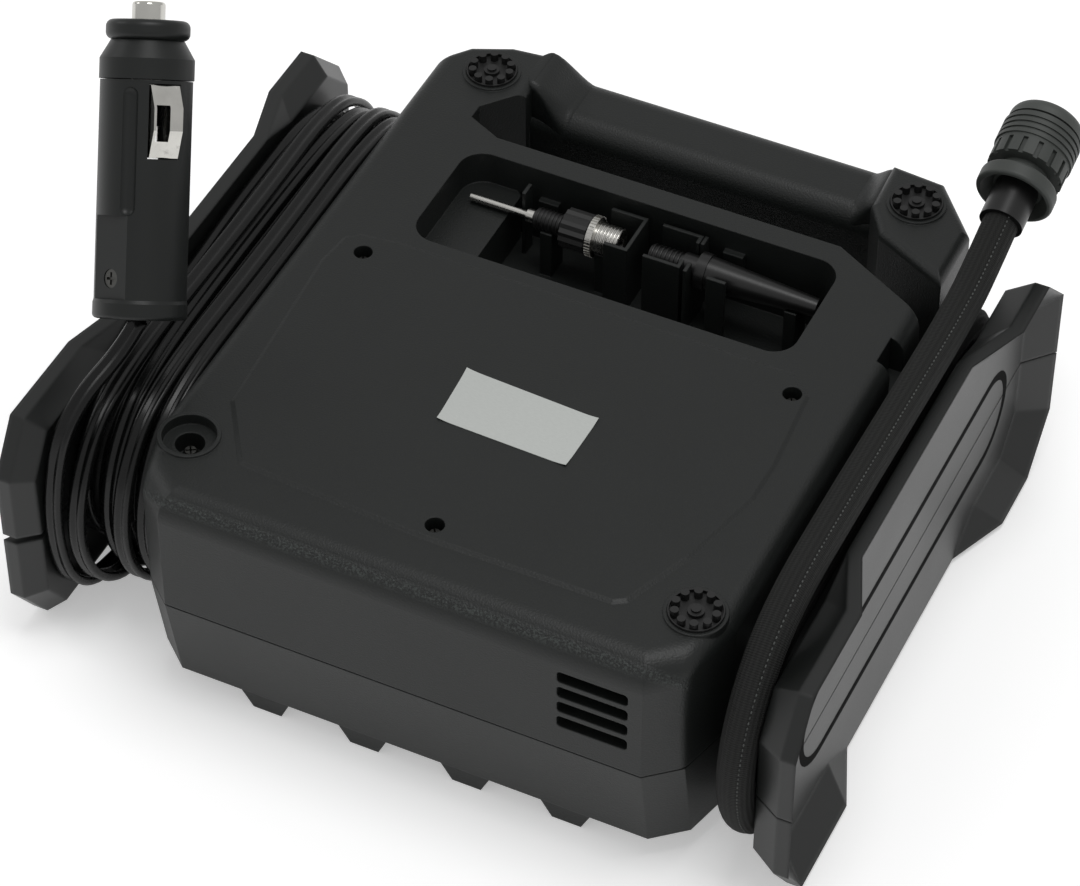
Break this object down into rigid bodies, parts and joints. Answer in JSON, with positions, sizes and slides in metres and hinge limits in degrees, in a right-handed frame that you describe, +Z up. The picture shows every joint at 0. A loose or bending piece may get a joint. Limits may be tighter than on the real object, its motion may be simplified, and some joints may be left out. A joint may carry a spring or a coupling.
{
  "type": "portable tire inflator",
  "caption": "Flat electric tire inflator lying on its display face, with side cord wraps, a wound hose, a vehicle power plug and an open nozzle compartment.",
  "frame": {"origin": "on the floor under the middle of the housing with its wraps and handle, the cords not counted", "axes": "+X to the side with the hose, +Y from the louvered near wall towards the carrying handle, +Z up from the tread lugs to the footed base face"},
  "size_m": [0.2, 0.187, 0.1382],
  "materials": {
    "black_plastic": "fine-grained matte",
    "black_rubber": "matte",
    "dark_steel": "blackened",
    "clear_window": "clear",
    "display_grey": "matte",
    "board_green": "satin",
    "plated_steel": "nickel plated",
    "copper": "wound wire",
    "brass": "turned",
    "white_nylon": "satin",
    "cast_metal": "as cast",
    "hose_braid": "braided",
    "black_vinyl": "smooth",
    "fuse_glass": "clear"
  },
  "bodies": {
    "housing": {"rear_shell": "black_plastic", "front_shell": "black_plastic", "left_wrap_rear": "black_plastic", "left_wrap_front": "black_plastic", "right_wrap_rear": "black_plastic", "right_wrap_front": "black_plastic", "rubber_feet": "black_rubber", "housing_screws": "dark_steel", "display_window": "clear_window", "lcd_module": "display_grey", "control_board": "board_green", "light_lens": "clear_window", "work_light": "clear_window", "motor_can": "plated_steel", "motor_end_bell": "black_plastic", "pump_frame": "cast_metal", "cylinder": "cast_metal", "cylinder_head": "cast_metal", "head_screws": "plated_steel", "air_tube": "white_nylon", "hose_union": "brass", "hose_gland": "black_rubber", "hose_winding": "hose_braid", "hose_end": "hose_braid", "hose_ferrule": "black_plastic", "chuck_body": "black_plastic", "chuck_cap": "black_plastic", "chuck_seal": "black_rubber", "valve_depressor": "brass", "cord_gland": "black_rubber", "power_cord_core": "black_vinyl", "power_cord_winding": "black_vinyl", "power_cord_end": "black_vinyl", "plug_body": "black_plastic", "plug_cap": "black_plastic", "plug_collar": "black_plastic", "plug_spring": "plated_steel", "plug_fuse": "fuse_glass", "plug_screw": "dark_steel"},
    "motor_rotor": {"motor_shaft": "plated_steel", "motor_pinion": "brass", "armature": "copper"},
    "gear_train": {"drive_gear": "white_nylon", "crank_shaft": "plated_steel", "crank_pin": "plated_steel"},
    "piston_group": {"piston": "white_nylon", "piston_seal": "black_rubber", "connecting_rod": "white_nylon"},
    "minus_button": {"minus_button": "black_rubber"},
    "plus_button": {"plus_button": "black_rubber"},
    "unit_button": {"unit_button": "black_rubber"},
    "light_button": {"light_button": "black_rubber"},
    "start_button": {"start_button": "black_rubber"},
    "plug_tip": {"plug_tip": "plated_steel"},
    "plug_contact_right": {"plug_contact_right": "plated_steel"},
    "plug_contact_left": {"plug_contact_left": "plated_steel"},
    "chuck_sleeve": {"chuck_sleeve": "black_plastic"},
    "ball_needle": {"ball_needle": "plated_steel"},
    "valve_adapter": {"valve_adapter": "plated_steel"},
    "inflation_nozzle": {"inflation_nozzle": "black_plastic"}
  },
  "joints": [
    {"name": "motor_spin", "type": "hinge", "parent": "housing", "child": "motor_rotor", "pos_m": [-0.0155, -0.046, 0.042], "axis": [1, 0, 0], "continuous": true},
    {"name": "crank_spin", "type": "hinge", "parent": "housing", "child": "gear_train", "pos_m": [0.0125, -0.021, 0.042], "axis": [1, 0, 0], "continuous": true},
    {"name": "piston_stroke", "type": "slide", "parent": "housing", "child": "piston_group", "axis": [0, 1, 0], "range_m": [0, 0.009]},
    {"name": "minus_button_press", "type": "slide", "parent": "housing", "child": "minus_button", "axis": [0, 0, 1], "range_m": [0, 0.0008], "stiffness_N_per_m": 400, "springref_m": -0.0004},
    {"name": "plus_button_press", "type": "slide", "parent": "housing", "child": "plus_button", "axis": [0, 0, 1], "range_m": [0, 0.0008], "stiffness_N_per_m": 400, "springref_m": -0.0004},
    {"name": "unit_button_press", "type": "slide", "parent": "housing", "child": "unit_button", "axis": [0, 0, 1], "range_m": [0, 0.0008], "stiffness_N_per_m": 400, "springref_m": -0.0004},
    {"name": "light_button_press", "type": "slide", "parent": "housing", "child": "light_button", "axis": [0, 0, 1], "range_m": [0, 0.0008], "stiffness_N_per_m": 400, "springref_m": -0.0004},
    {"name": "start_button_press", "type": "slide", "parent": "housing", "child": "start_button", "axis": [0, 0, 1], "range_m": [0, 0.0008], "stiffness_N_per_m": 400, "springref_m": -0.0004},
    {"name": "plug_tip_press", "type": "slide", "parent": "housing", "child": "plug_tip", "axis": [0.2535, -0.615, -0.7466], "range_m": [0, 0.004], "stiffness_N_per_m": 600, "springref_m": -0.002, "deforming": ["plug_spring"]},
    {"name": "contact_right_press", "type": "slide", "parent": "housing", "child": "plug_contact_right", "axis": [-0.74, 0.3738, -0.5592], "range_m": [0, 0.0015], "stiffness_N_per_m": 1000, "springref_m": -0.0005},
    {"name": "contact_left_press", "type": "slide", "parent": "housing", "child": "plug_contact_left", "axis": [0.74, -0.3738, 0.5592], "range_m": [0, 0.0015], "stiffness_N_per_m": 1000, "springref_m": -0.0005},
    {"name": "chuck_sleeve_draw", "type": "slide", "parent": "housing", "child": "chuck_sleeve", "axis": [0, -0.9681, -0.2504], "range_m": [0, 0.003], "stiffness_N_per_m": 900, "springref_m": -0.001},
    {"name": "ball_needle_lift", "type": "slide", "parent": "housing", "child": "ball_needle", "axis": [0, 0, 1], "range_m": [0, 0.025]},
    {"name": "valve_adapter_lift", "type": "slide", "parent": "housing", "child": "valve_adapter", "axis": [0, 0, 1], "range_m": [0, 0.025]},
    {"name": "inflation_nozzle_lift", "type": "slide", "parent": "housing", "child": "inflation_nozzle", "axis": [0, 0, 1], "range_m": [0, 0.025]}
  ],
  "couplings": [
    {"joint": "crank_spin", "follows": "motor_spin", "ratio": -0.19048}
  ]
}
